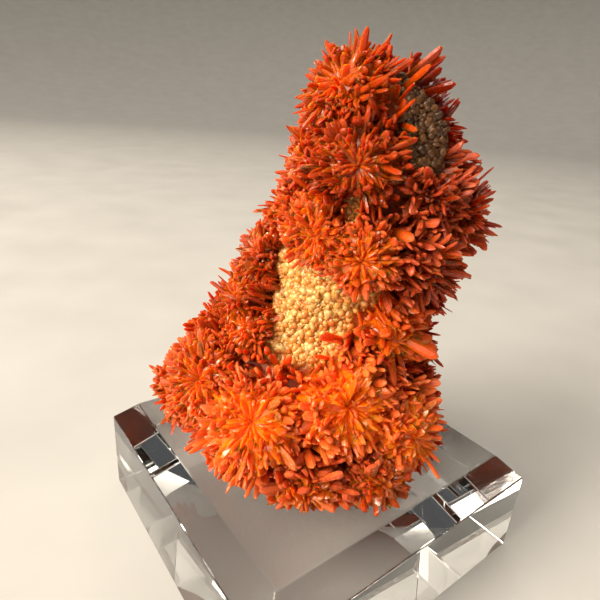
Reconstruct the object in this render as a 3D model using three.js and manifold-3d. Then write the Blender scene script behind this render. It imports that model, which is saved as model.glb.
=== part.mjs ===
// Calcite on matrix: a tall pale rock overgrown by radiating sprays of orange crystals,
// standing on a square clear block with bevelled top edges.
// Millimetres, +Z up, origin at the middle of the block's underside.

import * as THREE from 'three';
import { mergeVertices } from 'three/addons/utils/BufferGeometryUtils.js';
import Module from 'manifold-3d';

const wasm = await Module();
wasm.setup();

// Display block
const BLOCK_SIDE = 50;
const BLOCK_HEIGHT = 18;
const BLOCK_BEVEL = 3.6;

// The specimen's front looks at one corner of the block
const SPECIMEN_TURN = -38;

// Clearance between neighbouring pieces
const GAP = 0.3;

// Rock sections from the foot up, one every ROCK_STEP: middle x and y, half width and half depth.
// x runs to the specimen's right and y to its back.
const ROCK_STEP = 5;
const ROCK_SECTIONS = [
  [1.5, -0.5, 14.0, 13.0],
  [-0.5, -1.5, 16.0, 12.8],
  [-2.4, -1.8, 16.2, 11.8],
  [-1.8, -1.0, 14.2, 10.0],
  [0.4, -0.2, 12.0, 8.2],
  [2.0, 0.0, 11.0, 8.0],
  [4.0, 0.0, 10.8, 8.5],
  [6.0, 0.0, 10.6, 8.5],
  [5.8, -0.5, 8.8, 7.5],
  [6.2, -0.8, 7.4, 6.8],
  [6.4, -1.0, 5.8, 5.2],
  [5.4, -1.2, 1.8, 1.8],
];
const ROCK_PEAK = 0.8;
const ROCK_SIDES = 20;
const ROCK_LEVELS = 14;
const ROCK_LUMPS = [
  { depth: 0.05, waves: 3, twist: 0.21, start: 0.0 },
  { depth: 0.04, waves: 5, twist: -0.33, start: 1.3 },
];

// Sprays: where the growth centre sits on the rock, as a turn round it (0 right, 90 back, 180 left,
// 270 front) and a height above the block, and how far its longest crystals reach.
const SPRAYS = [
  { name: 'crown_spray', turn: 210, height: 51.3, reach: 7.5 },
  { name: 'crown_right_spray', turn: 8, height: 48.6, reach: 4.4 },
  { name: 'crown_back_spray', turn: 75, height: 51.0, reach: 6.6 },
  { name: 'collar_spray', turn: 246, height: 43.8, reach: 7.2 },
  { name: 'collar_left_spray', turn: 196, height: 43.0, reach: 6.2 },
  { name: 'shoulder_spray', turn: 194, height: 36.5, reach: 6.2 },
  { name: 'heart_spray', turn: 232, height: 35.5, reach: 6.6 },
  { name: 'heart_right_spray', turn: 264, height: 33.0, reach: 6.4 },
  { name: 'arm_upper_spray', turn: 310, height: 40.6, reach: 7.0 },
  { name: 'arm_tip_spray', turn: 346, height: 38.0, reach: 7.2 },
  { name: 'arm_lower_spray', turn: 306, height: 32.5, reach: 7.2 },
  { name: 'elbow_spray', turn: 345, height: 28.0, reach: 6.4 },
  { name: 'right_blade_spray', turn: 303, height: 22.5, reach: 7.4 },
  { name: 'right_flank_spray', turn: 350, height: 19.0, reach: 6.4 },
  { name: 'right_skirt_spray', turn: 352, height: 11.0, reach: 5.8 },
  { name: 'right_corner_spray', turn: 340, height: 3.5, reach: 6.4 },
  { name: 'left_fan_spray', turn: 186, height: 29.5, reach: 6.4 },
  { name: 'left_flank_spray', turn: 192, height: 22.5, reach: 6.8 },
  { name: 'left_ridge_spray', turn: 165, height: 16.5, reach: 7.0 },
  { name: 'left_hip_spray', turn: 220, height: 20.0, reach: 5.4 },
  { name: 'left_foot_spray', turn: 218, height: 13.0, reach: 7.3 },
  { name: 'foot_rim_spray', turn: 190, height: 9.0, reach: 6.6 },
  { name: 'left_low_spray', turn: 234, height: 4.5, reach: 4.8 },
  { name: 'front_left_spray', turn: 252, height: 10.5, reach: 8.0 },
  { name: 'front_mid_spray', turn: 290, height: 13.2, reach: 8.4 },
  { name: 'front_right_spray', turn: 322, height: 8.0, reach: 7.4 },
  { name: 'front_bottom_spray', turn: 266, height: 3.0, reach: 6.6 },
  { name: 'right_bottom_spray', turn: 300, height: 3.0, reach: 6.6 },
  { name: 'back_arm_spray', turn: 38, height: 37.5, reach: 7.4 },
  { name: 'back_collar_spray', turn: 125, height: 43.5, reach: 7.6 },
  { name: 'back_left_spray', turn: 142, height: 35.0, reach: 7.6 },
  { name: 'back_heart_spray', turn: 88, height: 33.0, reach: 8.0 },
  { name: 'back_elbow_spray', turn: 30, height: 28.5, reach: 7.6 },
  { name: 'back_mid_spray', turn: 128, height: 24.0, reach: 8.6 },
  { name: 'back_right_spray', turn: 68, height: 20.5, reach: 8.8 },
  { name: 'back_foot_left_spray', turn: 145, height: 8.0, reach: 9.0 },
  { name: 'back_foot_spray', turn: 103, height: 9.0, reach: 9.0 },
  { name: 'back_foot_right_spray', turn: 60, height: 7.0, reach: 8.6 },
  { name: 'back_skirt_spray', turn: 22, height: 9.0, reach: 7.0 },
];

// A spray's form, in shares of its reach: how far its centre lies off the rock, the low mound that its
// crystals merge into, at its middle and round its rim, its small pointed crystals and its large blades.
const CENTRE_LIFT = 0.12;
const MOUND_MIDDLE = 0.55;
const MOUND_RIM = 0.82;
const SPIKE_LOWEST = 0.05;
const SPIKE_RISE = 0.4;
const SPIKE_SPREAD = 0.14;
const BLADE_SPACING = 1.9;
const BLADE_SHOULDER = 0.72;
const BLADE_HALF_WIDTH = 0.11;
const BLADE_HALF_THICKNESS = 0.06;
const BLADE_LONGEST = 1.08;
const BLADE_SPREAD = 0.1;
const BLADE_WIDEST_ANGLE = 60;
const GOLDEN_ANGLE = Math.PI * (3 - Math.sqrt(5));

const COLOURS = { block: 0xeef2f2, rock: 0xd9b36c, crystal: 0xd8481a };

const radians = THREE.MathUtils.degToRad;

// Rock surface: an ellipse on each level, whose middle and half sizes follow smooth curves through the
// sections, with low lumps round it.
const rockHeight = ROCK_STEP * (ROCK_SECTIONS.length - 1);
const sectionCurve = (pick) => new THREE.CatmullRomCurve3(ROCK_SECTIONS.map(pick), false, 'catmullrom', 0.5);
const rockMiddle = sectionCurve(([x, y], level) => new THREE.Vector3(x, y, level * ROCK_STEP));
const rockHalfSizes = sectionCurve(([, , width, depth]) => new THREE.Vector3(width, depth, 0));

function rockLump(angle, height) {
  return ROCK_LUMPS.reduce(
    (sum, { depth, waves, twist, start }) => sum + depth * Math.sin(waves * angle + twist * height + start),
    1,
  );
}

function rockPoint(angle, height, grow = 0) {
  const share = THREE.MathUtils.clamp(height / rockHeight, 0, 1);
  const middle = rockMiddle.getPoint(share);
  const half = rockHalfSizes.getPoint(share).multiplyScalar(rockLump(angle, height));
  return new THREE.Vector3(
    middle.x + (half.x + grow) * Math.cos(angle),
    middle.y + (half.y + grow) * Math.sin(angle),
    height,
  );
}

function rockNormal(angle, height) {
  const nudge = 0.05;
  const along = rockPoint(angle + nudge, height).sub(rockPoint(angle - nudge, height));
  const up = rockPoint(angle, height + nudge).sub(rockPoint(angle, height - nudge));
  return along.cross(up).normalize();
}

// How far a point stands off the rock, measured level outwards from the rock's middle
function rockClearance(point) {
  const share = THREE.MathUtils.clamp(point.z / rockHeight, 0, 1);
  const middle = rockMiddle.getPoint(share);
  const half = rockHalfSizes.getPoint(share);
  const peak = THREE.MathUtils.clamp((rockHeight + ROCK_PEAK - point.z) / ROCK_PEAK, 0, 1);
  const x = point.x - middle.x;
  const y = point.y - middle.y;
  const angle = Math.atan2(y / half.y, x / half.x);
  const edge = rockLump(angle, point.z) * peak;
  return Math.hypot(x, y) - Math.hypot(half.x * Math.cos(angle), half.y * Math.sin(angle)) * edge;
}

function rockGeometry(grow) {
  const positions = [];
  const index = [];
  for (let level = 0; level < ROCK_LEVELS; level++) {
    for (let side = 0; side < ROCK_SIDES; side++) {
      const angle = (2 * Math.PI * side) / ROCK_SIDES;
      const point = rockPoint(angle, (rockHeight * level) / (ROCK_LEVELS - 1), grow);
      positions.push(...point);
    }
  }
  const foot = positions.length / 3;
  const peak = foot + 1;
  positions.push(...rockMiddle.getPoint(0));
  positions.push(...rockMiddle.getPoint(1).add(new THREE.Vector3(0, 0, ROCK_PEAK + grow)));
  const last = (ROCK_LEVELS - 1) * ROCK_SIDES;
  for (let side = 0; side < ROCK_SIDES; side++) {
    const next = (side + 1) % ROCK_SIDES;
    for (let ring = 0; ring < last; ring += ROCK_SIDES) {
      const over = ring + ROCK_SIDES;
      index.push(ring + side, ring + next, over + next, ring + side, over + next, over + side);
    }
    index.push(foot, next, side, peak, last + side, last + next);
  }
  return indexedGeometry(positions, index);
}

function indexedGeometry(positions, index) {
  const geometry = new THREE.BufferGeometry();
  geometry.setAttribute('position', new THREE.Float32BufferAttribute(positions, 3));
  geometry.setIndex(index);
  return geometry;
}

// Closed mesh to solid and back
function toSolid(geometry) {
  const mesh = new wasm.Mesh({
    numProp: 3,
    vertProperties: Float32Array.from(geometry.attributes.position.array),
    triVerts: Uint32Array.from(geometry.index.array),
  });
  return new wasm.Manifold(mesh);
}

function toGeometry(solid) {
  const { vertProperties, triVerts, numProp } = solid.getMesh();
  const positions = [];
  for (let start = 0; start < vertProperties.length; start += numProp) {
    positions.push(...vertProperties.subarray(start, start + 3));
  }
  return indexedGeometry(positions, Array.from(triVerts));
}

// Repeatable scatter between 0 and 1
function scatter(a, b) {
  const wave = Math.sin(a * 12.9898 + b * 78.233) * 43758.5453;
  return wave - Math.floor(wave);
}

// Growth centres stand a little off the rock. A spray keeps to its own side of the flat face where it
// met each neighbour, and above the block.
function placeSpray({ name, turn, height, reach }) {
  const angle = radians(turn);
  const axis = rockNormal(angle, height);
  const centre = rockPoint(angle, height).addScaledVector(axis, CENTRE_LIFT * reach);
  return { name, reach, axis, centre };
}

function meetingFaces(spray, others) {
  const faces = [{ normal: new THREE.Vector3(0, 0, -1), distance: spray.centre.z - GAP }];
  for (const other of others) {
    const apart = other.centre.clone().sub(spray.centre);
    const span = apart.length();
    if (other === spray || span > spray.reach + other.reach) continue;
    const distance = (span ** 2 + spray.reach ** 2 - other.reach ** 2) / (2 * span) - GAP / 2;
    faces.push({ normal: apart.divideScalar(span), distance });
  }
  return faces;
}

// Longest straight growth from the centre along a direction
function growth(spray, direction, wanted) {
  let length = wanted;
  for (const { normal, distance } of spray.faces) {
    const slope = normal.dot(direction);
    if (slope > 0) length = Math.min(length, distance / slope);
  }
  const step = 0.1;
  const probe = new THREE.Vector3();
  for (let along = step; along < length; along += step) {
    probe.copy(spray.centre).addScaledVector(direction, along);
    if (rockClearance(probe) < 2 * GAP) return along - step;
  }
  return length;
}

// A mound of small crystals: each outward facet of a low rounded mound rises to a point
function spikedMound(spray, order) {
  const ball = new THREE.IcosahedronGeometry(1, 1);
  ball.deleteAttribute('normal');
  ball.deleteAttribute('uv');
  const merged = mergeVertices(ball);
  const corners = merged.attributes.position;
  const positions = [];
  const index = [];
  const direction = new THREE.Vector3();
  const place = (rise) => {
    const rim = 1 - direction.dot(spray.axis) ** 2;
    const share = THREE.MathUtils.lerp(MOUND_MIDDLE, MOUND_RIM, rim) + rise;
    const length = growth(spray, direction, share * spray.reach);
    positions.push(...spray.centre.clone().addScaledVector(direction, length));
  };
  for (let corner = 0; corner < corners.count; corner++) {
    direction.fromBufferAttribute(corners, corner).normalize();
    place(0);
  }
  for (let face = 0; face < merged.index.count; face += 3) {
    const trio = [0, 1, 2].map((step) => merged.index.getX(face + step));
    direction.set(0, 0, 0);
    trio.forEach((corner) => direction.add(new THREE.Vector3().fromBufferAttribute(corners, corner)));
    direction.normalize();
    if (direction.dot(spray.axis) < SPIKE_LOWEST) {
      index.push(...trio);
      continue;
    }
    const tip = positions.length / 3;
    place(SPIKE_RISE - SPIKE_SPREAD * scatter(order, face));
    index.push(trio[0], trio[1], tip, trio[1], trio[2], tip, trio[2], trio[0], tip);
  }
  return indexedGeometry(positions, index);
}

// A flattened pointed crystal: it widens from the centre to its shoulder and closes to a tip
function bladeGeometry(spray, direction, length, roll) {
  const side = new THREE.Vector3().crossVectors(direction, spray.axis).normalize();
  side.applyAxisAngle(direction, roll);
  const flat = new THREE.Vector3().crossVectors(direction, side);
  const shoulder = spray.centre.clone().addScaledVector(direction, BLADE_SHOULDER * length);
  const width = BLADE_HALF_WIDTH * spray.reach;
  const thickness = BLADE_HALF_THICKNESS * spray.reach;
  const points = [
    spray.centre,
    shoulder.clone().addScaledVector(side, width),
    shoulder.clone().addScaledVector(flat, thickness),
    shoulder.clone().addScaledVector(side, -width),
    shoulder.clone().addScaledVector(flat, -thickness),
    spray.centre.clone().addScaledVector(direction, length),
  ];
  const index = [];
  for (let corner = 1; corner <= 4; corner++) {
    const next = (corner % 4) + 1;
    index.push(0, next, corner, 5, corner, next);
  }
  return indexedGeometry(points.flatMap((point) => [...point]), index);
}

function bladeFits(spray, geometry) {
  const point = new THREE.Vector3();
  for (let corner = 1; corner < geometry.attributes.position.count; corner++) {
    point.fromBufferAttribute(geometry.attributes.position, corner).sub(spray.centre);
    const length = point.length();
    if (growth(spray, point.normalize(), length) < length) return false;
  }
  return true;
}

function sprayGeometry(spray, order, grownRock) {
  let solid = toSolid(spikedMound(spray, order));
  const upright = new THREE.Quaternion().setFromUnitVectors(new THREE.Vector3(0, 0, 1), spray.axis);
  const blades = Math.floor(spray.reach / BLADE_SPACING);
  for (let count = 0; count < blades; count++) {
    const lean = radians(BLADE_WIDEST_ANGLE) * Math.sqrt((count + 0.5) / blades);
    const round = count * GOLDEN_ANGLE + 2 * Math.PI * scatter(order, 0.5);
    const direction = new THREE.Vector3().setFromSphericalCoords(1, lean, round);
    direction.set(direction.z, direction.x, direction.y).applyQuaternion(upright);
    const length = (BLADE_LONGEST - BLADE_SPREAD * scatter(order, count + 0.25)) * spray.reach;
    const blade = bladeGeometry(spray, direction, length, Math.PI * scatter(order, count + 0.75));
    if (bladeFits(spray, blade)) solid = solid.add(toSolid(blade));
  }
  const pieces = solid.subtract(grownRock).decompose();
  pieces.sort((a, b) => b.volume() - a.volume());
  return toGeometry(pieces[0]);
}

// Square block: a four-sided turned profile with its top edge bevelled at 45 degrees
function blockGeometry() {
  const corner = Math.SQRT2;
  const half = BLOCK_SIDE / 2;
  const profile = [
    new THREE.Vector2(0, 0),
    new THREE.Vector2(half * corner, 0),
    new THREE.Vector2(half * corner, BLOCK_HEIGHT - BLOCK_BEVEL),
    new THREE.Vector2((half - BLOCK_BEVEL) * corner, BLOCK_HEIGHT),
    new THREE.Vector2(0, BLOCK_HEIGHT),
  ];
  return new THREE.LatheGeometry(profile, 4, Math.PI / 4).rotateX(Math.PI / 2);
}

function pieceMesh(name, geometry, color, roughness) {
  const material = new THREE.MeshStandardMaterial({ color, roughness, metalness: 0 });
  const mesh = new THREE.Mesh(geometry, material);
  mesh.name = name;
  return mesh;
}

const specimen = new THREE.Group();
specimen.position.z = BLOCK_HEIGHT;
specimen.rotation.z = radians(SPECIMEN_TURN);
specimen.add(pieceMesh('matrix_rock', rockGeometry(0), COLOURS.rock, 0.8));

const grownRock = toSolid(rockGeometry(GAP));
const sprays = SPRAYS.map(placeSpray);
for (const spray of sprays) spray.faces = meetingFaces(spray, sprays);
sprays.forEach((spray, order) => {
  specimen.add(pieceMesh(spray.name, sprayGeometry(spray, order, grownRock), COLOURS.crystal, 0.3));
});

const calciteOnMatrix = new THREE.Group();
calciteOnMatrix.add(pieceMesh('acrylic_block', blockGeometry(), COLOURS.block, 0.05));
calciteOnMatrix.add(specimen);

export default calciteOnMatrix;
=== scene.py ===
"""Calcite on matrix: a pale rock overgrown by radiating sprays of orange crystals, on a clear block."""

import math

import bpy
import numpy as np
from mathutils import Matrix


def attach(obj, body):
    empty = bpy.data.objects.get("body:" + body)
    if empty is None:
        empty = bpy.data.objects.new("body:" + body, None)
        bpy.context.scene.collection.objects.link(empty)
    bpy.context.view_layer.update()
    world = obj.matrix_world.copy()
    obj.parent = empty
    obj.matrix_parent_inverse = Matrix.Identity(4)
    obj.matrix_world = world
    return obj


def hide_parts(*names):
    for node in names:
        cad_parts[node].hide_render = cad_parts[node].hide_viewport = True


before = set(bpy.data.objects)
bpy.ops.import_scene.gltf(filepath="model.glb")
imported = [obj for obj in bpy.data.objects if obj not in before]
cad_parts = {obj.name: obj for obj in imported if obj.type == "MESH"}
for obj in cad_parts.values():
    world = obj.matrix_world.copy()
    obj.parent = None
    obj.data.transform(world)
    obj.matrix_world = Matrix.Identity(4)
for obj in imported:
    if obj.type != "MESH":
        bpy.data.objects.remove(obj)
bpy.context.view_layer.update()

# Display block
# A square of clear cast acrylic, sawn and polished, with its top edge bevelled at 45 degrees.
# The specimen stands loose on its top face.
MILLIMETRE = 0.001
BLOCK_SIDE = 50.0
BLOCK_HEIGHT = 18.0
BLOCK_BEVEL = 3.6
BLOCK_EDGE_ROUND = 0.22
BLOCK_EDGE_STEPS = 5


def wrapped_quads(rings, sides):
    """Quads between neighbouring rings of points, counted ring by ring. Each ring closes on itself."""
    ring, side = np.meshgrid(np.arange(rings - 1), np.arange(sides), indexing="ij")
    here = ring * sides + side
    beside = ring * sides + (side + 1) % sides
    return np.stack((here, beside, beside + sides, here + sides), axis=-1).reshape(-1, 4)


def closing_fan(first, sides, pole, upward):
    """Triangles from a ring of points, which starts at the number first, to the point that closes it."""
    side = np.arange(sides)
    here, beside = first + side, first + (side + 1) % sides
    pair = (here, beside) if upward else (beside, here)
    return np.stack((*pair, np.full(sides, pole)), axis=-1)


def add_piece(name, points, *face_groups):
    """A mesh at the origin from points in millimetres and groups of faces that give points by number."""
    mesh = bpy.data.meshes.new(name)
    faces = [face for group in face_groups for face in group.tolist()]
    mesh.from_pydata(points * MILLIMETRE, [], faces)
    piece = bpy.data.objects.new(name, mesh)
    bpy.context.scene.collection.objects.link(piece)
    return piece


def block_surface():
    """A rounded square carried up a profile of three rounded edges: foot, bevel's start and bevel's end.

    Each rounded edge, and each corner of the square, is the quadratic curve from a point a little before
    the corner to one as far after it, with the corner as its handle."""
    share = np.linspace(0.0, 1.0, BLOCK_EDGE_STEPS)
    slope = BLOCK_EDGE_ROUND * math.sqrt(0.5)
    edges = np.array((
        ((BLOCK_EDGE_ROUND, 0.0), (0.0, 0.0), (0.0, BLOCK_EDGE_ROUND)),
        ((0.0, -BLOCK_EDGE_ROUND), (0.0, 0.0), (slope, slope)),
        ((-slope, -slope), (0.0, 0.0), (BLOCK_EDGE_ROUND, 0.0)),
    ))
    corners = np.array(((0.0, 0.0), (0.0, BLOCK_HEIGHT - BLOCK_BEVEL), (BLOCK_BEVEL, BLOCK_HEIGHT)))
    weights = np.stack(((1 - share) ** 2, 2 * share * (1 - share), share**2), axis=-1)
    profile = (np.einsum("sk,ekc->esc", weights, edges) + corners[:, None]).reshape(-1, 2)
    half = BLOCK_SIDE / 2 - profile[:, :1]
    across = half - BLOCK_EDGE_ROUND * share**2
    along = half - BLOCK_EDGE_ROUND * (1 - share) ** 2
    quarter = np.arange(4) * math.pi / 2
    cosine, sine = np.cos(quarter)[:, None], np.sin(quarter)[:, None]
    x = across[:, None] * cosine - along[:, None] * sine
    y = across[:, None] * sine + along[:, None] * cosine
    z = np.broadcast_to(profile[:, 1][:, None, None], x.shape)
    rings = np.stack((x, y, z), axis=-1).reshape(len(profile), -1, 3)
    sides = rings.shape[1]
    points = np.concatenate((rings.reshape(-1, 3), ((0.0, 0.0, 0.0), (0.0, 0.0, BLOCK_HEIGHT))))
    foot, top = len(points) - 2, len(points) - 1
    return (
        points,
        wrapped_quads(len(rings), sides),
        closing_fan(0, sides, foot, upward=False),
        closing_fan((len(rings) - 1) * sides, sides, top, upward=True),
    )


def new_finish(name):
    """An empty node material and its main shader."""
    material = bpy.data.materials.new(name)
    material.use_nodes = True
    tree = material.node_tree
    return material, tree, tree.nodes["Principled BSDF"]


def object_noise(tree, scale, detail, roughness=0.5):
    """Noise over the piece's own coordinates, in metres, as a node whose first output is its strength."""
    place = tree.nodes.new("ShaderNodeTexCoord")
    noise = tree.nodes.new("ShaderNodeTexNoise")
    noise.inputs["Scale"].default_value = scale
    noise.inputs["Detail"].default_value = detail
    noise.inputs["Roughness"].default_value = roughness
    tree.links.new(place.outputs["Object"], noise.inputs["Vector"])
    return noise


def spread(tree, source, low, high, from_low=0.3, from_high=0.7):
    """The source's values between from_low and from_high, carried over to values between low and high."""
    node = tree.nodes.new("ShaderNodeMapRange")
    node.inputs["From Min"].default_value = from_low
    node.inputs["From Max"].default_value = from_high
    node.inputs["To Min"].default_value = low
    node.inputs["To Max"].default_value = high
    tree.links.new(source, node.inputs["Value"])
    return node.outputs["Result"]


def shades(tree, source, *stops):
    """A colour that runs through stops of (place, colour) as the source goes from 0 to 1."""
    node = tree.nodes.new("ShaderNodeValToRGB")
    ramp = node.color_ramp
    while len(ramp.elements) < len(stops):
        ramp.elements.new(0.5)
    for element, (place, colour) in zip(ramp.elements, stops):
        element.position = place
        element.color = (*colour, 1.0)
    tree.links.new(source, node.inputs["Fac"])
    return node.outputs["Color"]


def bumps(tree, source, strength, distance):
    """A surface raised by the source's values, up to distance millimetres."""
    node = tree.nodes.new("ShaderNodeBump")
    node.inputs["Strength"].default_value = strength
    node.inputs["Distance"].default_value = distance * MILLIMETRE
    tree.links.new(source, node.inputs["Height"])
    return node.outputs["Normal"]


acrylic, tree, shader = new_finish("clear acrylic")
shader.inputs["Transmission Weight"].default_value = 1.0
shader.inputs["IOR"].default_value = 1.49
handling = object_noise(tree, scale=160.0, detail=5.0)
tree.links.new(spread(tree, handling.outputs["Fac"], low=0.0, high=0.02), shader.inputs["Roughness"])
tint = shades(tree, handling.outputs["Fac"], (0.3, (0.975, 0.985, 0.985)), (0.7, (1.0, 1.0, 1.0)))
tree.links.new(tint, shader.inputs["Base Color"])
polish = object_noise(tree, scale=60.0, detail=2.0)
ripple = bumps(tree, polish.outputs["Fac"], strength=0.05, distance=0.05)
tree.links.new(ripple, shader.inputs["Normal"])
body = tree.nodes.new("ShaderNodeVolumeAbsorption")
body.inputs["Color"].default_value = (0.86, 0.93, 0.92, 1.0)
body.inputs["Density"].default_value = 2.5
tree.links.new(body.outputs["Volume"], tree.nodes["Material Output"].inputs["Volume"])

block = add_piece("clear_block", *block_surface())
block.data.materials.append(acrylic)
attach(block, "root")
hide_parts("acrylic_block")

# Matrix rock
# The pale sugary host rock that the crystals grew on, broken off its bed and left rough.
# Each section is its middle and half sizes; x runs to the specimen's right and y to its back.
SPECIMEN_TURN = math.radians(-38.0)
ROCK_STEP = 5.0
ROCK_SECTIONS = np.array((
    (1.5, -0.5, 14.0, 13.0),
    (-0.5, -1.5, 16.0, 12.8),
    (-2.4, -1.8, 16.2, 11.8),
    (-1.8, -1.0, 14.2, 10.0),
    (0.4, -0.2, 12.0, 8.2),
    (2.0, 0.0, 11.0, 8.0),
    (4.0, 0.0, 10.8, 8.5),
    (6.0, 0.0, 10.6, 8.5),
    (5.8, -0.5, 8.8, 7.5),
    (6.2, -0.8, 7.4, 6.8),
    (6.4, -1.0, 5.8, 5.2),
    (5.4, -1.2, 1.8, 1.8),
))
ROCK_HEIGHT = ROCK_STEP * (len(ROCK_SECTIONS) - 1)
ROCK_PEAK = 0.8

# Waves round the rock: height in shares of the radius, number, turn for each millimetre up, and start
ROCK_WAVES = ((0.05, 3, 0.21, 0.0), (0.04, 5, -0.33, 1.3))

# The rock's grid
ROCK_SIDES = 240
ROCK_LEVELS = 170

# Where the rock turns dark brown, under the crown, and over what height. The brown is partly the rock's own
# stain and partly painted shade on the knob beside the crown.
CROWN_FOOT = 42.0
BROWN_SHADE_FADE = 3.0

# Where the rock stays bare: turn in degrees, height, half turn and half height
BARE_PATCHES = np.array((
    (256.0, 22.2, 26.0, 5.2),
    (241.0, 27.0, 26.0, 4.3),
    (212.0, 31.0, 15.0, 3.2),
    (280.0, 28.0, 12.0, 2.4),
    (250.0, 39.3, 9.0, 2.0),
    (305.0, 48.6, 27.0, 5.2),
))

# How far out a patch's rim goes, in shares of its half sizes, and how fast bareness falls there
BARE_RIM = 1.25
BARE_FALL = 2.2

# Nodules on the bare rock: how many are tried, radius, height in shares of a half ball, least bareness
NODULES = 2600
NODULE_RADIUS = (0.5, 1.5)
NODULE_RISE = 0.4
NODULE_BARENESS = 0.05
ROCK_SEED = 11


def rock_sizes(height):
    """Middle and half sizes at any height: cubic curves through the sections, whose slope at each section
    is half the step between its two neighbours."""
    first, last = ROCK_SECTIONS[:2], ROCK_SECTIONS[-2:]
    ends = np.vstack((2 * first[0] - first[1], ROCK_SECTIONS, 2 * last[1] - last[0]))
    place = np.clip(height / ROCK_STEP, 0.0, len(ROCK_SECTIONS) - 1.0)
    low = np.minimum(place.astype(int), len(ROCK_SECTIONS) - 2)
    share = (place - low)[..., None]
    before, start, end, after = (ends[low + step] for step in range(4))
    rise = (end - before) / 2
    fall = (after - start) / 2
    square = 3 * (end - start) - 2 * rise - fall
    cube = 2 * (start - end) + rise + fall
    return start + share * (rise + share * (square + share * cube))


def rock_point(angle, height):
    """The rock's surface: on each level an ellipse, its radius waved three and five times round."""
    sizes = rock_sizes(height)
    lump = 1.0
    for share, waves, twist, start in ROCK_WAVES:
        lump = lump + share * np.sin(waves * angle + twist * height + start)
    x = sizes[..., 0] + sizes[..., 2] * lump * np.cos(angle)
    y = sizes[..., 1] + sizes[..., 3] * lump * np.sin(angle)
    return np.stack((x, y, height), axis=-1)


def unit(vectors):
    """Vectors scaled to length one."""
    return vectors / np.linalg.norm(vectors, axis=-1, keepdims=True)


def rock_normal(angle, height):
    """Outward direction: the cross product of short steps round the rock and up it."""
    nudge = 0.05
    round_step = rock_point(angle + nudge, height) - rock_point(angle - nudge, height)
    up_step = rock_point(angle, height + nudge) - rock_point(angle, height - nudge)
    return unit(np.cross(round_step, up_step))


def bareness(angle, height):
    """1 in the middle of a bare patch, falling to 0 at its rim, by the distance in shares of its halves."""
    turn = np.degrees(angle)[..., None]
    off_turn = (turn - BARE_PATCHES[:, 0] + 180.0) % 360.0 - 180.0
    off_height = height[..., None] - BARE_PATCHES[:, 1]
    away = np.hypot(off_turn / BARE_PATCHES[:, 2], off_height / BARE_PATCHES[:, 3])
    return np.clip(BARE_FALL * (BARE_RIM - away), 0.0, 1.0).max(axis=-1)


def specimen_place(points):
    """Points of the specimen, turned about the upright axis and set on top of the block."""
    cosine, sine = math.cos(SPECIMEN_TURN), math.sin(SPECIMEN_TURN)
    x, y, z = np.moveaxis(points, -1, 0)
    return np.stack((x * cosine - y * sine, x * sine + y * cosine, z + BLOCK_HEIGHT), axis=-1)


def scattered_on_rock(count, chance):
    """Places spread at random over the rock as an angle and a height, thicker where it is wider."""
    angle = chance.uniform(0.0, 2 * math.pi, count)
    height = chance.uniform(0.0, ROCK_HEIGHT, count)
    sizes = rock_sizes(height)
    kept = chance.uniform(0.0, ROCK_SECTIONS[:, 2].max(), count) < sizes[:, 2]
    return angle[kept], height[kept]


def rock_surface():
    """The rock's form on a grid of turns and heights, raised by round nodules where it is bare.

    A nodule raises the points within its radius to a flattened half ball, and the highest nodule counts."""
    angle = np.linspace(0.0, 2 * math.pi, ROCK_SIDES, endpoint=False)
    height = np.linspace(0.0, ROCK_HEIGHT, ROCK_LEVELS)
    height, angle = np.meshgrid(height, angle, indexing="ij")
    height, angle = height.ravel(), angle.ravel()
    points = rock_point(angle, height)
    bare = bareness(angle, height)
    chance = np.random.default_rng(ROCK_SEED)
    spots = scattered_on_rock(NODULES, chance)
    showing = bareness(*spots) > NODULE_BARENESS
    middles = rock_point(*spots)[showing]
    radii = chance.uniform(*NODULE_RADIUS, len(middles))
    raised = np.zeros(len(points))
    for middle, radius in zip(middles, radii):
        inside = radius**2 - ((points - middle) ** 2).sum(axis=1)
        raised = np.maximum(raised, NODULE_RISE * np.sqrt(np.maximum(inside, 0.0)))
    points = points + rock_normal(angle, height) * raised[:, None]
    points[:, 2] = np.maximum(points[:, 2], 0.0)
    foot = np.append(rock_sizes(np.zeros(1))[0, :2], 0.0)
    peak = np.append(rock_sizes(np.full(1, ROCK_HEIGHT))[0, :2], ROCK_HEIGHT + ROCK_PEAK)
    points = np.concatenate((points, (foot, peak)))
    faces = (
        wrapped_quads(ROCK_LEVELS, ROCK_SIDES),
        closing_fan(0, ROCK_SIDES, len(points) - 2, upward=False),
        closing_fan((ROCK_LEVELS - 1) * ROCK_SIDES, ROCK_SIDES, len(points) - 1, upward=True),
    )
    return points, faces, np.append(bare, (0.0, 0.0))


def set_values(piece, name, values):
    """One number for each of the piece's points, which its material reads by name."""
    layer = piece.data.attributes.new(name, "FLOAT", "POINT")
    layer.data.foreach_set("value", values.astype(np.float32))


def read_values(tree, name):
    """The numbers that set_values stored under this name."""
    node = tree.nodes.new("ShaderNodeAttribute")
    node.attribute_name = name
    return node.outputs["Fac"]


def blend(tree, factor, first, second):
    """The first colour where the factor is 0 and the second where it is 1."""
    node = tree.nodes.new("ShaderNodeMix")
    node.data_type = "RGBA"
    tree.links.new(factor, node.inputs["Factor"])
    tree.links.new(first, node.inputs["A"])
    tree.links.new(second, node.inputs["B"])
    return node.outputs["Result"]


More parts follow.
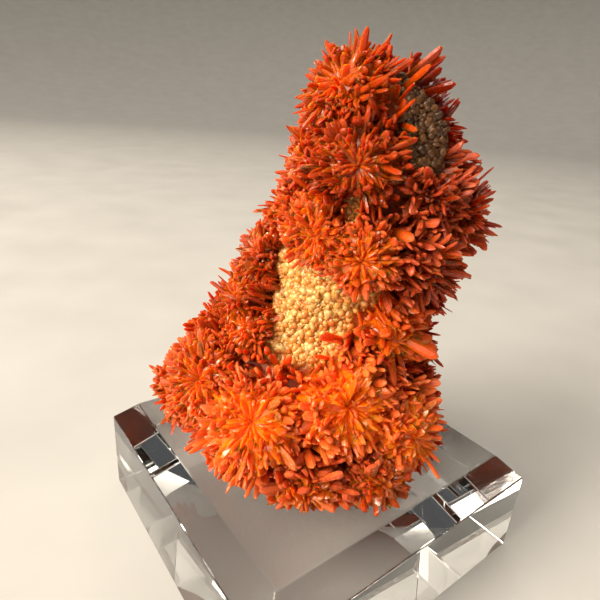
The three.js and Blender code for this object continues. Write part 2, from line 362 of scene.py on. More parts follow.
sugary_rock, tree, shader = new_finish("pale sugary rock")
clouds = object_noise(tree, scale=220.0, detail=4.0)
specks = object_noise(tree, scale=1500.0, detail=3.0, roughness=0.6)
honey = shades(
    tree,
    clouds.outputs["Fac"],
    (0.32, (0.76, 0.34, 0.070)),
    (0.5, (0.86, 0.46, 0.11)),
    (0.68, (0.90, 0.58, 0.20)),
)
# Dark brown on the knob beside the crown: partly the rock's own stain, partly painted shade.
brown_and_shade = shades(tree, specks.outputs["Fac"], (0.35, (0.05, 0.020, 0.006)), (0.65, (0.15, 0.065, 0.02)))
coated = shades(tree, specks.outputs["Fac"], (0.3, (0.34, 0.045, 0.006)), (0.7, (0.66, 0.15, 0.02)))
bare_colour = blend(tree, read_values(tree, "brown_and_shade"), honey, brown_and_shade)
tree.links.new(blend(tree, read_values(tree, "bare"), coated, bare_colour), shader.inputs["Base Color"])
tree.links.new(spread(tree, specks.outputs["Fac"], low=0.25, high=0.6), shader.inputs["Roughness"])
sugar = bumps(tree, specks.outputs["Fac"], strength=0.7, distance=0.25)
tree.links.new(sugar, shader.inputs["Normal"])
shader.inputs["Subsurface Weight"].default_value = 0.6
shader.inputs["Subsurface Radius"].default_value = (1.0, 0.55, 0.2)
shader.inputs["Subsurface Scale"].default_value = 1.6 * MILLIMETRE

rock_points, rock_faces, rock_bare = rock_surface()
rock = add_piece("sugary_rock", specimen_place(rock_points), *rock_faces)
rock.data.shade_smooth()
set_values(rock, "bare", rock_bare)
# The rock darkens above the crown's foot: painted shade with some real brown.
set_values(rock, "brown_and_shade", np.clip((rock_points[:, 2] - CROWN_FOOT) / BROWN_SHADE_FADE, 0.0, 1.0))
rock.data.materials.append(sugary_rock)
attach(rock, "root")
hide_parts("matrix_rock")

# Crumbs on the bare rock
# Rounded glassy crumbs of calcite, grown on the rock where no spray covers it, with small grains between.
# They are honey to cream in the patches below the crown, and dark brown on the knob beside it, partly their
# own brown and partly painted shade.

# Number tried, the bareness that one needs by chance, radius, how far the middle stands off the rock,
# how uneven its form is, its stretch, and the lowest height of a point
CRUMBS = 90000
CRUMB_BARENESS = (0.02, 0.7)
CRUMB_RADIUS = (0.15, 0.75)
CRUMB_LIFT = (0.1, 0.6)
CRUMB_UNEVEN = (0.78, 1.12)
CRUMB_STRETCH = (0.75, 1.3)
CRUMB_LOWEST = 0.05
CRUMB_RINGS = 3
CRUMB_SIDES = 5

# Tones of the crumbs on the brown knob, darkened with painted shade, and the tone of the deepest pale crumb
# elsewhere
BROWN_SHADE_TONES = 0.12
PALE_TONE = 0.2


def turned_frames(chance, count):
    """Random turns in space, as three directions at right angles for each, from two random directions."""
    first = unit(chance.normal(size=(count, 3)))
    second = unit(np.cross(first, chance.normal(size=(count, 3))))
    return np.stack((first, second, np.cross(first, second)), axis=1)


def crumb_surface():
    """Uneven balls: rings of five points between two poles, each point moved in or out a little by chance,
    then stretched, turned at random and half sunk in the rock.

    The radius grows with the cube of a chance number, so small ones are far more common."""
    chance = np.random.default_rng(ROCK_SEED + 1)
    angle, height = scattered_on_rock(CRUMBS, chance)
    showing = bareness(angle, height) > chance.uniform(*CRUMB_BARENESS, len(angle))
    angle, height = angle[showing], height[showing]
    count = len(angle)
    level = np.linspace(0.0, math.pi, CRUMB_RINGS + 2)[1:-1]
    level, turn = np.meshgrid(level, np.arange(CRUMB_SIDES) * 2 * math.pi / CRUMB_SIDES, indexing="ij")
    rings = np.stack((np.sin(level) * np.cos(turn), np.sin(level) * np.sin(turn), -np.cos(level)), axis=-1)
    ball = np.vstack((rings.reshape(-1, 3), (0.0, 0.0, -1.0), (0.0, 0.0, 1.0)))
    smallest, largest = CRUMB_RADIUS
    radius = smallest + (largest - smallest) * chance.uniform(size=(count, 1, 1)) ** 3
    size = radius * chance.uniform(*CRUMB_UNEVEN, (count, len(ball), 1))
    stretch = chance.uniform(*CRUMB_STRETCH, (count, 1, 3))
    turned = np.einsum("gpc,gcd->gpd", ball * size * stretch, turned_frames(chance, count))
    lift = chance.uniform(*CRUMB_LIFT, (count, 1))
    points = (rock_point(angle, height) + rock_normal(angle, height) * lift)[:, None] + turned
    points[..., 2] = np.maximum(points[..., 2], CRUMB_LOWEST)
    first = np.arange(count)[:, None, None] * len(ball)
    groups = (
        wrapped_quads(CRUMB_RINGS, CRUMB_SIDES),
        closing_fan(0, CRUMB_SIDES, len(ball) - 2, upward=False),
        closing_fan((CRUMB_RINGS - 1) * CRUMB_SIDES, CRUMB_SIDES, len(ball) - 1, upward=True),
    )
    faces = [(first + group).reshape(-1, group.shape[1]) for group in groups]
    chosen = chance.uniform(size=count)
    pale_tone = PALE_TONE + (1.0 - PALE_TONE) * chosen * bareness(angle, height)
    # Crumbs on the knob above the crown's foot take dark tones: painted shade with some real brown.
    tone_and_shade = np.where(height > CROWN_FOOT, BROWN_SHADE_TONES * chosen, pale_tone)
    return points.reshape(-1, 3), faces, np.repeat(tone_and_shade, len(ball))


crumb, tree, shader = new_finish("glassy crumbs")
# The two lowest stops are the knob's dark crumbs: partly their own brown, partly painted shade.
crumb_colour = shades(
    tree,
    read_values(tree, "tone_and_shade"),
    (0.0, (0.07, 0.026, 0.006)),
    (0.12, (0.22, 0.090, 0.020)),
    (0.2, (0.52, 0.14, 0.014)),
    (0.5, (0.60, 0.26, 0.045)),
    (1.0, (0.76, 0.47, 0.16)),
)
tree.links.new(crumb_colour, shader.inputs["Base Color"])
frost = object_noise(tree, scale=2400.0, detail=2.0)
tree.links.new(spread(tree, frost.outputs["Fac"], low=0.15, high=0.5), shader.inputs["Roughness"])
frosting = bumps(tree, frost.outputs["Fac"], strength=0.3, distance=0.08)
tree.links.new(frosting, shader.inputs["Normal"])
shader.inputs["IOR"].default_value = 1.6
shader.inputs["Subsurface Weight"].default_value = 0.6
shader.inputs["Subsurface Radius"].default_value = (1.0, 0.7, 0.3)
shader.inputs["Subsurface Scale"].default_value = 0.4 * MILLIMETRE

crumb_points, crumb_faces, crumb_tone_and_shade = crumb_surface()
crumbs = add_piece("rock_crumbs", specimen_place(crumb_points), *crumb_faces)
crumbs.data.shade_smooth()
set_values(crumbs, "tone_and_shade", crumb_tone_and_shade)
crumbs.data.materials.append(crumb)
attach(crumbs, "root")

# Crystal sprays
# Flattened pointed crystals of orange calcite, grown outwards from a centre on the rock until they met
# the next spray. Their hearts are clear amber and their tips are dusted pale.

# Turn and height of the centre, reach, number of crystals, half width, and in shares of the reach how
# long the middle ones are and how far the grown-together heart goes; last, how blunt the tips are,
# how pale the whole spray is and how dusty its tips are. The paleness is partly the spray's own colour
# and partly painted light and shade: sprays standing in shade at the right and back are painted darker,
# and lit ones at the front paler.
SPRAYS = {
    "crown_spray": (210.0, 51.3, 7.5, 210, 0.42, 0.66, 0.85, 0.05, 0.22, 0.1),
    "crown_right_spray": (8.0, 48.6, 4.4, 60, 0.36, 0.92, 0.45, 0.0, -0.3, 0.0),
    "crown_back_spray": (75.0, 51.0, 6.6, 105, 0.46, 0.78, 0.60, 0.1, -0.3, 0.0),
    "collar_spray": (246.0, 43.8, 7.2, 120, 0.54, 0.58, 0.84, 0.15, 0.1, 0.15),
    "collar_left_spray": (196.0, 43.0, 6.2, 120, 0.42, 0.76, 0.8, 0.0, 0.15, 0.1),
    "shoulder_spray": (194.0, 36.5, 6.2, 120, 0.42, 0.74, 0.84, 0.0, 0.25, 0.2),
    "heart_spray": (232.0, 35.5, 6.6, 120, 0.40, 0.58, 0.94, 0.3, 0.45, 0.5),
    "heart_right_spray": (264.0, 33.0, 6.4, 111, 0.44, 0.64, 0.92, 0.4, 0.4, 0.6),
    "arm_upper_spray": (310.0, 40.6, 7.0, 90, 0.5, 0.9, 0.56, 0.3, -0.12, 0.95),
    "arm_tip_spray": (346.0, 38.0, 7.2, 99, 0.44, 0.92, 0.56, 0.2, -0.12, 0.85),
    "arm_lower_spray": (306.0, 32.5, 7.2, 90, 0.52, 0.9, 0.56, 0.35, -0.05, 0.95),
    "elbow_spray": (345.0, 28.0, 6.4, 84, 0.44, 0.95, 0.58, 0.2, -0.1, 0.7),
    "right_blade_spray": (303.0, 22.5, 7.4, 54, 0.82, 0.80, 0.62, 0.2, 0.6, 0.5),
    "right_flank_spray": (350.0, 19.0, 6.4, 90, 0.42, 0.95, 0.58, 0.3, 0.0, 0.6),
    "right_skirt_spray": (352.0, 11.0, 5.8, 90, 0.42, 0.95, 0.58, 0.4, 0.0, 0.6),
    "right_corner_spray": (340.0, 3.5, 6.4, 78, 0.5, 0.92, 0.62, 0.5, 0.1, 0.6),
    "left_fan_spray": (186.0, 29.5, 6.4, 105, 0.48, 0.60, 0.92, 0.1, 0.14, 0.2),
    "left_flank_spray": (192.0, 22.5, 6.8, 105, 0.50, 0.56, 0.94, 0.2, 0.14, 0.2),
    "left_ridge_spray": (165.0, 16.5, 7.0, 111, 0.48, 0.80, 0.82, 0.1, 0.3, 0.4),
    "left_hip_spray": (220.0, 20.0, 5.4, 60, 0.58, 0.62, 0.94, 0.2, 0.45, 0.3),
    "left_foot_spray": (218.0, 13.0, 7.3, 126, 0.54, 0.5, 1.0, 0.35, 0.36, 0.4),
    "foot_rim_spray": (190.0, 9.0, 6.6, 210, 0.34, 0.90, 0.95, 0.7, 0.3, 0.9),
    "left_low_spray": (234.0, 4.5, 4.8, 99, 0.46, 0.85, 0.92, 0.7, 0.3, 0.8),
    "front_left_spray": (252.0, 10.5, 8.0, 108, 0.62, 0.5, 1.0, 0.35, 0.8, 0.7),
    "front_mid_spray": (290.0, 13.2, 8.4, 96, 0.7, 0.50, 1.0, 0.5, 1.2, 0.7),
    "front_right_spray": (322.0, 8.0, 7.4, 87, 0.68, 0.64, 0.92, 0.5, 0.8, 1.0),
    "front_bottom_spray": (266.0, 3.0, 6.6, 72, 1.05, 0.82, 0.88, 0.8, 0.3, 1.0),
    "right_bottom_spray": (300.0, 3.0, 6.6, 72, 1.0, 0.82, 0.86, 0.8, 0.25, 1.0),
    "back_arm_spray": (38.0, 37.5, 7.4, 78, 0.56, 0.92, 0.48, 0.2, 0.1, 0.5),
    "back_collar_spray": (125.0, 43.5, 7.6, 114, 0.52, 0.70, 0.80, 0.1, 0.3, 0.5),
    "back_left_spray": (142.0, 35.0, 7.6, 114, 0.52, 0.64, 0.82, 0.1, 0.35, 0.5),
    "back_heart_spray": (88.0, 33.0, 8.0, 114, 0.54, 0.56, 0.86, 0.2, 0.4, 0.5),
    "back_elbow_spray": (30.0, 28.5, 7.6, 90, 0.54, 0.88, 0.52, 0.2, 0.2, 0.5),
    "back_mid_spray": (128.0, 24.0, 8.6, 120, 0.60, 0.52, 0.88, 0.2, 0.5, 0.5),
    "back_right_spray": (68.0, 20.5, 8.8, 120, 0.60, 0.54, 0.88, 0.2, 0.5, 0.5),
    "back_foot_left_spray": (145.0, 8.0, 9.0, 114, 0.62, 0.56, 0.86, 0.3, 0.7, 0.5),
    "back_foot_spray": (103.0, 9.0, 9.0, 120, 0.62, 0.54, 0.86, 0.3, 0.8, 0.5),
    "back_foot_right_spray": (60.0, 7.0, 8.6, 114, 0.62, 0.60, 0.82, 0.4, 0.7, 0.5),
    "back_skirt_spray": (22.0, 9.0, 7.0, 81, 0.52, 0.86, 0.54, 0.4, 0.4, 0.5),
}

# The centre's height over the rock in shares of the reach, the widest lean from the spray's axis, the turn
# about it from one crystal to the next, the jitter of that turn, and the direction that, crossed with
# the axis, starts the turns
CENTRE_LIFT = 0.12
WIDEST_LEAN = math.radians(88.0)
GOLDEN_ANGLE = math.pi * (3.0 - math.sqrt(5.0))
TURN_JITTER = 0.5
TURN_START = (0.3, 0.1, 1.0)

# Growth stops above the block, and a little past the face where two sprays met; a direction that hardly
# leans towards a face never meets it
BLOCK_CLEARANCE = 0.15
MEETING_OVERLAP = 1.1
LEAST_SLOPE = 1e-6
CRYSTAL_SEED = 5

# A spray counts as open up to the first heart share, and as closed once its share is larger by the second
OPEN_SHARE = 0.40
CLOSING_SHARE = 0.30

# The heart of a spray, where its crystals are grown together: its grid, the number of crystal ends on it,
# the lowest of them and the hollows between them in shares of the highest, and their fall per radian,
# slow along the blades that they end and steep across them. Then how much it is cut back over bare rock,
# how much lower than the middle crystals it is at the axis, the least share there, and its root's depth.
HEART_LEANS = 28
HEART_TURNS = 100
HEART_WIDEST_LEAN = math.radians(112.0)
HEART_ENDS = 150
HEART_LOWEST_END = 0.78
HEART_HOLLOW = 0.70
HEART_LEAN_SLOPE = 0.9
HEART_TURN_SLOPE = 2.6
BARE_CUT = 0.5
HEART_SINK = 0.08
HEART_LEAST_MIDDLE = 0.3
HEART_ROOT = 0.3

# The heart's colour: its place between deep and bright at half the heart's reach, and how fast it changes
HALF_RISE = 0.55
RISE_SLOPE = 0.6

# Short crystals on the heart: how many for each long one, length, half width, depth of the root, how much
# they lean outwards and the jitter of their directions
SHORT_SHARE = 1.3
SHORT_LENGTH = (0.4, 1.3)
SHORT_HALF_WIDTH = (0.24, 0.66)
SHORT_ROOT = 0.5
SHORT_OUTWARD = 0.35
SHORT_JITTER = 0.2

# Upright crystals in the valleys where sprays met: how many are tried, how near the meeting face, how tall
# in shares of the reach, half width, the heart share that the spray needs by chance, how bare the rock
# may be, and the jitter of their directions
VALLEY_TRIES = 8000
VALLEY_NEAR = 3.1
VALLEY_HEIGHT = (0.35, 0.8)
VALLEY_HALF_WIDTH = (0.2, 0.7)
VALLEY_HEART_SHARE = (0.35, 0.60)
VALLEY_BAREST = 0.55
VALLEY_JITTER = 0.22

# One crystal: thickness in shares of its width, where its shoulder is between root and tip, the part of
# its bluntness by chance, the slant of its end, and the direction that, crossed with its length, is the
# start of its roll
CRYSTAL_SIDES = 6
CRYSTAL_FLATNESS = (0.38, 0.62)
CRYSTAL_SHOULDER = (0.60, 0.90)
BLUNT_JITTER = 0.15
END_SLANT = 0.6
ROLL_START = (0.31, 0.87, 0.39)

# Rings of a crystal from root to tip: place between root, shoulder and tip, and share of its half width
# on a pointed and on a blunt crystal
RING_PLACES = np.array((0.0, 1.0, 1.64, 2.0))
POINTED_WIDTHS = np.array((0.78, 1.0, 0.80, 0.15))
BLUNT_WIDTHS = np.array((0.80, 1.0, 0.97, 0.68))

# Long crystals grow side by side in bundles: crystals in a bundle, the bundle's jitter, the spread of its
# crystals in direction, to the side in half widths and in roll, the bundle's shift at its root in shares
# of the reach, and how much of that shift is left at its tip
BUNDLE = 3
BUNDLE_JITTER = 0.05
BUNDLE_FAN = 0.09
BUNDLE_WIDTH = 0.8
BUNDLE_ROLL = 0.2
ROOT_SHIFT = 0.08
TIP_SHIFT = 0.4

# Their length at the rim in shares of the reach, how much shorter whole bundles get by a power of chance
# and single crystals by chance, the least length kept, the barest rock under a tip, and half widths in
# shares of the spray's, by chance and near the axis
RIM_LENGTH = 1.12
BUNDLE_SHORTER = 0.3
BUNDLE_SHORTER_POWER = 1.5
SHORTEST_IN_BUNDLE = 0.74
LEAST_LENGTH = 0.35
BAREST_UNDER_TIP = 0.8
LONG_WIDTHS = (0.5, 1.45)
MIDDLE_WIDTH = 0.45

# How much of the cosine of the lean is left free of long and of short crystals about a closed spray's axis
OPEN_MIDDLE = 0.18
SHORT_OPEN_MIDDLE = 0.12

# Tones from deep red at 0 to the full colour at 1, partly the crystals' own colour and partly painted
# shade that follows the spray's paleness: a heart's in a spray of no paleness, how much of its spray's
# paleness a crystal takes, the part by chance and how much more of that a pale spray has. Last, where a
# closed spray's crystals start on the colours that run from root to tip; starting them on the amber is
# partly painted glow of light that passes through the heart.
HEART_TONE = 0.15
CRYSTAL_TONE = 0.6
CHANCE_TONE = 0.16
CHANCE_TONE_GAIN = 0.24
AMBER_GLOW_ROOTS = 0.45

# Dust lies on crystals that lean out, and on their ends: its gain and start over the lean and the length
DUST_OVER_LEAN = (1.8, 0.5)
DUST_OVER_LENGTH = (2.5, 1.4)

spray_columns = np.array(list(SPRAYS.values())).T
spray_turns, spray_heights, spray_reaches, spray_counts, spray_widths = spray_columns[:5]
spray_middles, heart_shares, spray_bluntness, spray_paleness_and_light, spray_dust = spray_columns[5:]
spray_angles = np.radians(spray_turns)
spray_hearts = heart_shares * spray_reaches
spray_closed = np.clip((heart_shares - OPEN_SHARE) / CLOSING_SHARE, 0.0, 1.0)
spray_axes = rock_normal(spray_angles, spray_heights)
spray_feet = rock_point(spray_angles, spray_heights)
spray_centres = spray_feet + spray_axes * CENTRE_LIFT * spray_reaches[:, None]


def growth_limit(order, directions):
    """How far crystals grow from a centre: to the flat face where equal shares of growth met each
    neighbour, or to just above the block."""
    apart = np.delete(spray_centres, order, axis=0) - spray_centres[order]
    other_reaches = np.delete(spray_reaches, order)
    span = np.linalg.norm(apart, axis=1)
    near = span < spray_reaches[order] + other_reaches
    apart, other_reaches, span = apart[near], other_reaches[near], span[near]
    distance = (span**2 + spray_reaches[order] ** 2 - other_reaches**2) / (2 * span) * MEETING_OVERLAP
    normals = np.vstack((apart / span[:, None], (0.0, 0.0, -1.0)))
    distance = np.append(distance, spray_centres[order][2] - BLOCK_CLEARANCE)
    slope = directions @ normals.T
    meeting = distance / np.maximum(slope, LEAST_SLOPE)
    return np.where(slope > LEAST_SLOPE, meeting, np.inf).min(axis=1)


def leaning(axis, cosine, turn):
    """Directions at a given cosine of the lean from the axis and a given turn about it."""
    across = unit(np.cross(axis, TURN_START))
    beside = np.cross(axis, across)
    level = np.cos(turn)[:, None] * across + np.sin(turn)[:, None] * beside
    return cosine[:, None] * axis + np.sqrt(1.0 - cosine**2)[:, None] * level


def cap_directions(axis, count, chance, highest=1.0):
    """Directions spread evenly over a cap about the axis, then jittered: each turns on by the golden angle
    while the cosine of its lean falls by equal steps from the highest."""
    place = np.clip((np.arange(count) + chance.uniform(0.0, 1.0, count)) / count, 0.0, 1.0)
    cosine = highest - (highest - math.cos(WIDEST_LEAN)) * place
    turn = np.arange(count) * GOLDEN_ANGLE + chance.uniform(-TURN_JITTER, TURN_JITTER, count)
    return leaning(axis, cosine, turn)


def bareness_under(points):
    """How bare the rock is under points, found by their turn about the rock and their height."""
    height = np.clip(points[:, 2], 0.0, ROCK_HEIGHT)
    sizes = rock_sizes(height)
    level = (points[:, :2] - sizes[:, :2]) / sizes[:, 2:]
    return bareness(np.arctan2(level[:, 1], level[:, 0]), height)


def lean_and_turn(axis, directions):
    """The lean of directions from the axis and their turn about it, the reverse of leaning."""
    across = unit(np.cross(axis, TURN_START))
    beside = np.cross(axis, across)
    lean = np.arccos(np.clip(directions @ axis, -1.0, 1.0))
    return lean, np.arctan2(directions @ beside, directions @ across)


def heart_reach(order, directions, ends, end_reach):
    """Distance from the centre to the heart's surface: over the crystal ends, the highest of the ridges
    that fall away from each, but no lower than the hollows and no farther than the growth limit.

    The whole is drawn in towards the axis, as the long crystals get shorter there, and cut back over
    bare rock."""
    lean, turn = lean_and_turn(spray_axes[order], directions)
    end_lean, end_turn = lean_and_turn(spray_axes[order], ends)
    apart = (turn[:, None] - end_turn + math.pi) % (2 * math.pi) - math.pi
    along = HEART_LEAN_SLOPE * (lean[:, None] - end_lean)
    across = HEART_TURN_SLOPE * apart * np.sin(lean)[:, None]
    ridges = (end_reach * (1.0 - np.hypot(along, across))).max(axis=1)
    hollow = HEART_HOLLOW * spray_hearts[order]
    middle = np.clip((spray_middles[order] - HEART_SINK) / heart_shares[order], HEART_LEAST_MIDDLE, 1.0)
    bowl = middle + (1.0 - middle) * np.sin(np.minimum(lean, math.pi / 2))
    distance = np.minimum(np.maximum(ridges, hollow) * bowl, growth_limit(order, directions))
    bare = bareness_under(spray_centres[order] + directions * distance[:, None])
    return distance * (1.0 - BARE_CUT * bare)


def heart_surface(order, ends, end_reach):
    """The heart's form on a grid of leans and turns about the spray's axis, closed at both poles, and for
    each point its place between the deep and the bright colour, by its distance from the centre. The
    brightness is scaled down as the spray opens, so an open spray's heart is deep maroon: painted shade
    in the gaps between its crystals."""
    axis, centre, reach = spray_axes[order], spray_centres[order], spray_reaches[order]
    lean = np.linspace(HEART_WIDEST_LEAN, 0.0, HEART_LEANS, endpoint=False)
    turn = np.linspace(0.0, 2 * math.pi, HEART_TURNS, endpoint=False)
    lean, turn = np.meshgrid(lean, turn, indexing="ij")
    directions = np.vstack((leaning(axis, np.cos(lean.ravel()), turn.ravel()), axis))
    distance = heart_reach(order, directions, ends, end_reach)
    points = np.vstack((centre + directions * distance[:, None], centre - axis * HEART_ROOT * reach))
    points[:, 2] = np.maximum(points[:, 2], BLOCK_CLEARANCE)
    faces = (
        wrapped_quads(HEART_LEANS, HEART_TURNS),
        closing_fan((HEART_LEANS - 1) * HEART_TURNS, HEART_TURNS, len(points) - 2, upward=True),
        closing_fan(0, HEART_TURNS, len(points) - 1, upward=False),
    )
    rise = np.append(distance, 0.0) / spray_hearts[order]
    bright = np.clip(HALF_RISE + RISE_SLOPE * (rise - 0.5), 0.0, 1.0)
    # Scaled by how closed the spray is: painted shade in an open spray's gaps.
    return points, faces, spray_closed[order] * bright


def crystal_surface(roots, tips, half_width, flatness, shoulder, roll, bluntness, slant):
    """Crystals as one set of points: six-sided flattened rings along each line from root to tip, narrow at
    the root, widest at the shoulder and closed by a small or a blunt end, which slants to one side."""
    length = np.linalg.norm(tips - roots, axis=1)
    along = unit(tips - roots)
    side = unit(np.cross(along, ROLL_START))
    flat = np.cross(along, side)
    cosine, sine = np.cos(roll)[:, None], np.sin(roll)[:, None]
    side, flat = side * cosine + flat * sine, flat * cosine - side * sine
    low = np.minimum(RING_PLACES, 1.0)
    high = np.maximum(RING_PLACES - 1.0, 0.0)
    share = shoulder[:, None] * low + (1.0 - shoulder[:, None]) * high
    corner = np.arange(CRYSTAL_SIDES) * 2 * math.pi / CRYSTAL_SIDES
    widths = POINTED_WIDTHS + bluntness[:, None] * (BLUNT_WIDTHS - POINTED_WIDTHS)
    across = (half_width[:, None] * widths)[..., None] * np.cos(corner)
    through = ((half_width * flatness)[:, None] * widths)[..., None] * np.sin(corner)
    onward = (share * length[:, None])[..., None] + (slant[:, None] * high)[..., None] * across
    points = roots[:, None, None] + onward[..., None] * along[:, None, None]
    points = points + across[..., None] * side[:, None, None] + through[..., None] * flat[:, None, None]
    points[..., 2] = np.maximum(points[..., 2], BLOCK_CLEARANCE)
    rings = len(RING_PLACES)
    last = (rings - 1) * CRYSTAL_SIDES
    root_end = np.array(((0, 3, 2, 1), (0, 5, 4, 3)))
    tip_end = last + np.array(((0, 1, 2, 3), (0, 3, 4, 5)))
    one = np.concatenate((wrapped_quads(rings, CRYSTAL_SIDES), root_end, tip_end))
    faces = np.arange(len(roots))[:, None, None] * (rings * CRYSTAL_SIDES) + one
    shares = np.broadcast_to(share[..., None], points.shape[:-1])
    return points.reshape(-1, 3), faces.reshape(-1, 4), shares.ravel()


def deepen(tree, colour, tone_and_shade):
    """The colour multiplied by a dark red where the tone is low, and left as it is where the tone is 1.
    A low tone is partly the crystals' own deeper colour and partly painted shade.
    """
    shade = shades(tree, tone_and_shade, (0.0, (0.17, 0.075, 0.06)), (1.0, (1.0, 1.0, 1.0)))
    node = tree.nodes.new("ShaderNodeMix")
    node.data_type = "RGBA"
    node.blend_type = "MULTIPLY"
    node.inputs["Factor"].default_value = 1.0
    tree.links.new(colour, node.inputs["A"])
    tree.links.new(shade, node.inputs["B"])
    return node.outputs["Result"]


amber, tree, shader = new_finish("amber heart")
grit = object_noise(tree, scale=1800.0, detail=3.0)
# The low stops, where open sprays' hearts sit, are painted shade between the crystals.
heart_colour = shades(
    tree,
    read_values(tree, "rise"),
    (0.0, (0.10, 0.009, 0.002)),
    (0.3, (0.66, 0.060, 0.002)),
    (0.6, (0.97, 0.175, 0.003)),
    (1.0, (0.98, 0.240, 0.006)),
)
tree.links.new(deepen(tree, heart_colour, read_values(tree, "tone_and_shade")), shader.inputs["Base Color"])
tree.links.new(spread(tree, grit.outputs["Fac"], low=0.15, high=0.4), shader.inputs["Roughness"])
roughening = bumps(tree, grit.outputs["Fac"], strength=0.4, distance=0.1)
tree.links.new(roughening, shader.inputs["Normal"])
shader.inputs["IOR"].default_value = 1.58
shader.inputs["Subsurface Weight"].default_value = 0.9
shader.inputs["Subsurface Radius"].default_value = (1.0, 0.26, 0.05)
shader.inputs["Subsurface Scale"].default_value = 2.8 * MILLIMETRE

orange_crystal, tree, shader = new_finish("orange crystal")
# Deep red at the root, which shows in open sprays, is partly painted shade between the crystals; the amber
# beyond it is partly painted glow.
glassy_colour = shades(
    tree,
    read_values(tree, "along"),
    (0.0, (0.34, 0.021, 0.001)),
    (0.45, (0.97, 0.195, 0.003)),
    (0.8, (0.96, 0.138, 0.004)),
    (1.0, (0.93, 0.125, 0.010)),
)
dusty_colour = shades(
    tree,
    read_values(tree, "tone_and_shade"),
    (0.0, (0.52, 0.088, 0.030)),
    (0.5, (0.80, 0.15, 0.042)),
    (1.0, (0.88, 0.19, 0.052)),
)
deep_colour = deepen(tree, glassy_colour, read_values(tree, "tone_and_shade"))
dust = read_values(tree, "dust")
tree.links.new(blend(tree, dust, deep_colour, dusty_colour), shader.inputs["Base Color"])
grit = object_noise(tree, scale=2600.0, detail=3.0)
tree.links.new(spread(tree, grit.outputs["Fac"], low=0.12, high=0.42), shader.inputs["Roughness"])
roughening = bumps(tree, grit.outputs["Fac"], strength=0.35, distance=0.06)
tree.links.new(roughening, shader.inputs["Normal"])
shader.inputs["IOR"].default_value = 1.58
shader.inputs["Specular IOR Level"].default_value = 0.2
glow = spread(tree, dust, low=0.9, high=0.45, from_low=0.0, from_high=1.0)
tree.links.new(glow, shader.inputs["Subsurface Weight"])
shader.inputs["Subsurface Radius"].default_value = (1.0, 0.24, 0.05)
shader.inputs["Subsurface Scale"].default_value = 1.8 * MILLIMETRE


def long_crystals(order, count, half_width, middle_length, chance):
    """Roots, tips, half widths, share of lean and roll of the bundled crystals that radiate from a centre.

    Towards the rim they get longer, from middle_length to a little over the reach, up to their limit."""
    axis, centre, reach = spray_axes[order], spray_centres[order], spray_reaches[order]
    bundles = count // BUNDLE
    bundle = np.repeat(np.arange(bundles), BUNDLE)
    highest = 1.0 - OPEN_MIDDLE * spray_closed[order]
    even = cap_directions(axis, bundles, chance, highest)
    middles = unit(even + chance.normal(scale=BUNDLE_JITTER, size=(bundles, 3)))
    directions = unit(middles[bundle] + chance.normal(scale=BUNDLE_FAN, size=(len(bundle), 3)))
    rim = 1.0 - (directions @ axis) ** 2
    wanted = reach * (middle_length + (RIM_LENGTH - middle_length) * np.sqrt(rim))
    shorter = BUNDLE_SHORTER * chance.uniform(size=bundles)[bundle] ** BUNDLE_SHORTER_POWER
    wanted *= (1.0 - shorter) * chance.uniform(SHORTEST_IN_BUNDLE, 1.0, len(bundle))
    bundle_roll = chance.uniform(0.0, math.pi, bundles)[bundle]
    roll = bundle_roll + chance.normal(scale=BUNDLE_ROLL, size=len(bundle))
    length = np.minimum(wanted, growth_limit(order, directions))
    aside = chance.normal(scale=ROOT_SHIFT * reach, size=(bundles, 3))[bundle]
    beside = chance.normal(scale=BUNDLE_WIDTH * half_width, size=directions.shape)
    roots = centre + aside + beside
    tips = centre + aside * TIP_SHIFT + beside + directions * length[:, None]
    widening = MIDDLE_WIDTH + (1.0 - MIDDLE_WIDTH) * rim
    widths = half_width * chance.uniform(*LONG_WIDTHS, len(roots)) * widening
    kept = (length > LEAST_LENGTH * reach) & (bareness_under(tips) < BAREST_UNDER_TIP)
    return tuple(values[kept] for values in (roots, tips, widths, rim, roll))


def short_crystals(order, count, ends, end_reach, chance):
    """Roots, tips, half widths, share of lean and roll of the short crystals that stand on the heart."""
    axis, centre = spray_axes[order], spray_centres[order]
    directions = cap_directions(axis, count, chance, 1.0 - SHORT_OPEN_MIDDLE * spray_closed[order])
    rim = 1.0 - (directions @ axis) ** 2
    distance = heart_reach(order, directions, ends, end_reach)
    roots = centre + directions * (distance - SHORT_ROOT)[:, None]
    outward = directions - (directions @ axis)[:, None] * axis
    jitter = chance.normal(scale=SHORT_JITTER, size=directions.shape)
    lean = unit(directions + SHORT_OUTWARD * outward + jitter)
    tips = roots + lean * (SHORT_ROOT + chance.uniform(*SHORT_LENGTH, count))[:, None]
    tips[:, 2] = np.maximum(tips[:, 2], 2 * BLOCK_CLEARANCE)
    return roots, tips, chance.uniform(*SHORT_HALF_WIDTH, count), rim, chance.uniform(0.0, math.pi, count)


